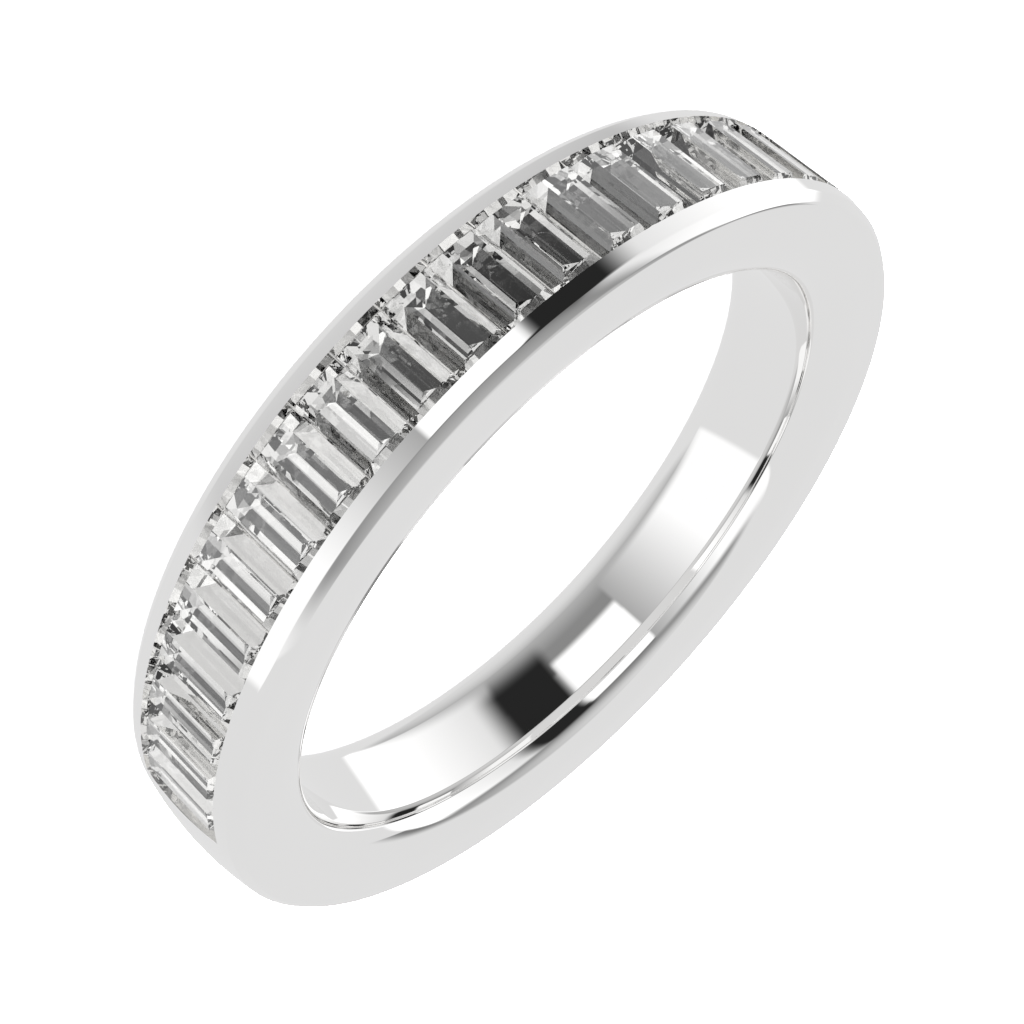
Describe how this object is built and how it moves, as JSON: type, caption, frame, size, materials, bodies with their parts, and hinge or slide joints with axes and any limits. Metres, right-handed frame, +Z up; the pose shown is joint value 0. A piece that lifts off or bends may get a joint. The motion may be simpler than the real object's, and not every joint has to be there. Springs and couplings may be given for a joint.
{
  "type": "half eternity ring",
  "caption": "Half eternity ring: a polished comfort-fit band with a channel-set row of baguette-cut stones over its front half.",
  "frame": {"origin": "centre of the finger bore, at the middle of the band's width", "axes": "+Z along the finger axis, -Y through the middle stone of the row, +X to the right of that stone seen from outside with +Z up; the ring lies on its -Z side face"},
  "size_m": [0.0216, 0.0215, 0.0038],
  "materials": {
    "metal": "mirror polish",
    "stone": "polished facets"
  },
  "bodies": {
    "root": {"band": "metal", "baguette_01": "stone", "baguette_02": "stone", "baguette_03": "stone", "baguette_04": "stone", "baguette_05": "stone", "baguette_06": "stone", "baguette_07": "stone", "baguette_08": "stone", "baguette_09": "stone", "baguette_10": "stone", "baguette_11": "stone", "baguette_12": "stone", "baguette_13": "stone", "baguette_14": "stone", "baguette_15": "stone", "baguette_16": "stone", "baguette_17": "stone", "baguette_18": "stone", "baguette_19": "stone", "baguette_20": "stone", "baguette_21": "stone", "baguette_22": "stone", "baguette_23": "stone", "baguette_24": "stone", "baguette_25": "stone"}
  },
  "joints": []
}
